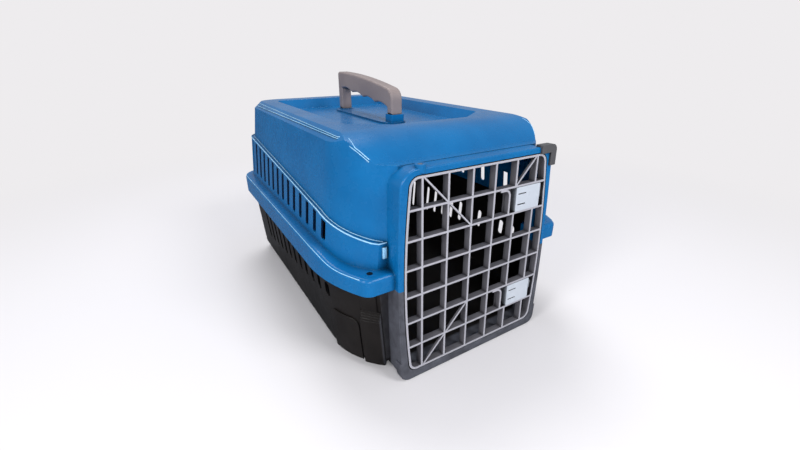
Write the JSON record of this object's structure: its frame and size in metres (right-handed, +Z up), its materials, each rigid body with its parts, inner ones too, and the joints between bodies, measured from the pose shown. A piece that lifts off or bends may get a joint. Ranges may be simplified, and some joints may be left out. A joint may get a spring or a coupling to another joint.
{
  "type": "pet carrier",
  "caption": "Hard-shell pet carrier: tub with vented sides, domed vented hood with a recessed roof and handle, and a hinged grille door with sliding latches.",
  "frame": {"origin": "on the ground under the middle of the carrier", "axes": "+Z up, the door faces -Y, +Y along the length to the back, +X to the latch side"},
  "size_m": [0.418, 0.5699, 0.3949],
  "materials": {
    "tub_black": "moulded satin black",
    "hood_blue": "moulded semi-gloss blue",
    "door_grey": "moulded satin grey",
    "latch_white": "moulded smooth white",
    "clip_grey": "moulded satin dark grey",
    "handle_taupe": "moulded satin warm grey",
    "screw_steel": "zinc plated",
    "screw_black": "blackened"
  },
  "bodies": {
    "carrier": {"base_tub": "tub_black", "hood_shell": "hood_blue", "corner_clip": "clip_grey", "handle": "handle_taupe", "handle_screws": "screw_steel", "flange_screws": "screw_black", "flange_nuts": "screw_steel"},
    "door": {"door_grille": "door_grey"},
    "lower_latch": {"latch_lower": "latch_white"},
    "upper_latch": {"latch_upper": "latch_white"}
  },
  "joints": [
    {"name": "door_hinge", "type": "hinge", "parent": "carrier", "child": "door", "pos_m": [-0.1, -0.27417, 0.15572], "axis": [0, -0.0342, -0.9994], "range_deg": [0, 115]},
    {"name": "lower_latch_slide", "type": "slide", "parent": "door", "child": "lower_latch", "axis": [1, 0, 0], "range_m": [0, 0.008]},
    {"name": "upper_latch_slide", "type": "slide", "parent": "door", "child": "upper_latch", "axis": [1, 0, 0], "range_m": [0, 0.008]}
  ]
}
